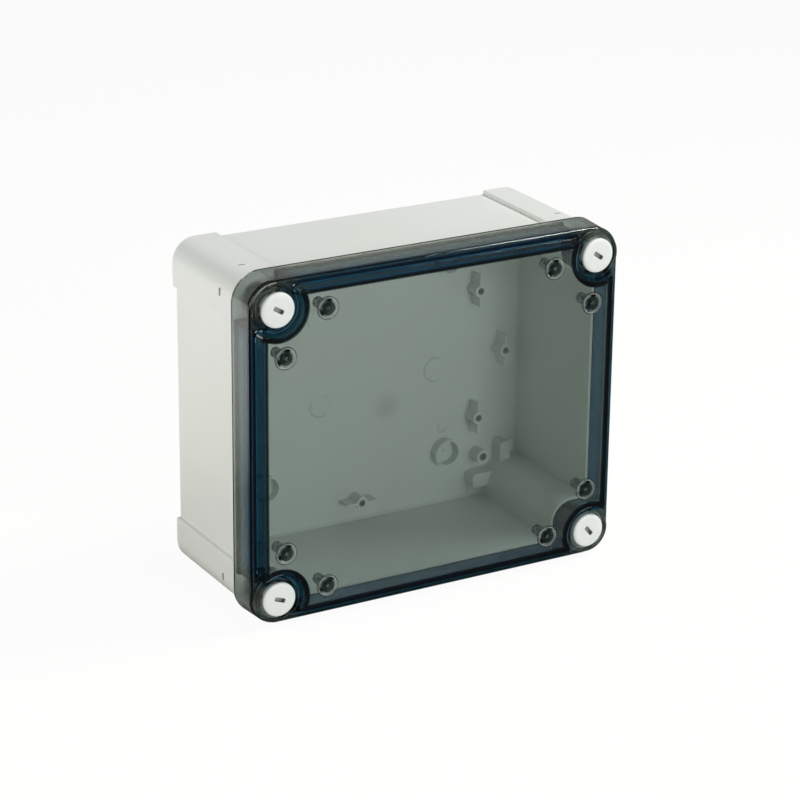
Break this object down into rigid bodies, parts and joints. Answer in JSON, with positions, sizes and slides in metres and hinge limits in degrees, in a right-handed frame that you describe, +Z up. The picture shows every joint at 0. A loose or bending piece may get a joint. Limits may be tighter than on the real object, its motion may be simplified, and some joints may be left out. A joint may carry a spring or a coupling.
{
  "type": "electrical enclosure",
  "caption": "Wall-mounted moulded electrical enclosure with a clear smoked raised-window cover held by quarter-turn corner screws over a gasket.",
  "frame": {"origin": "centre of the flat rear face", "axes": "X to the right seen from the front, Y to the rear, Z up; the window faces -Y"},
  "size_m": [0.341, 0.15, 0.291],
  "materials": {
    "base_plastic": "fine matt light grey moulding",
    "seal": "soft dark foam",
    "cover_clear": "polished smoked clear plastic",
    "screw_plastic": "white satin plastic",
    "ring_steel": "spring steel"
  },
  "bodies": {
    "base_body": {"base": "base_plastic", "gasket": "seal"},
    "cover_body": {"cover": "cover_clear"},
    "screw_body_top_left": {"cover_screw_top_left": "screw_plastic", "retaining_ring_top_left": "ring_steel"},
    "screw_body_top_right": {"cover_screw_top_right": "screw_plastic", "retaining_ring_top_right": "ring_steel"},
    "screw_body_bottom_right": {"cover_screw_bottom_right": "screw_plastic", "retaining_ring_bottom_right": "ring_steel"},
    "screw_body_bottom_left": {"cover_screw_bottom_left": "screw_plastic", "retaining_ring_bottom_left": "ring_steel"}
  },
  "joints": [
    {"name": "cover_lift_off", "type": "slide", "parent": "base_body", "child": "cover_body", "axis": [0, -1, 0], "range_m": [0, 0.2]},
    {"name": "screw_turn_top_left", "type": "hinge", "parent": "cover_body", "child": "screw_body_top_left", "pos_m": [-0.1467, -0.143, 0.1217], "axis": [0, 1, 0], "range_deg": [0, 90]},
    {"name": "screw_turn_top_right", "type": "hinge", "parent": "cover_body", "child": "screw_body_top_right", "pos_m": [0.1467, -0.143, 0.1217], "axis": [0, 1, 0], "range_deg": [0, 90]},
    {"name": "screw_turn_bottom_right", "type": "hinge", "parent": "cover_body", "child": "screw_body_bottom_right", "pos_m": [0.1467, -0.143, -0.1217], "axis": [0, 1, 0], "range_deg": [0, 90]},
    {"name": "screw_turn_bottom_left", "type": "hinge", "parent": "cover_body", "child": "screw_body_bottom_left", "pos_m": [-0.1467, -0.143, -0.1217], "axis": [0, 1, 0], "range_deg": [0, 90]}
  ]
}
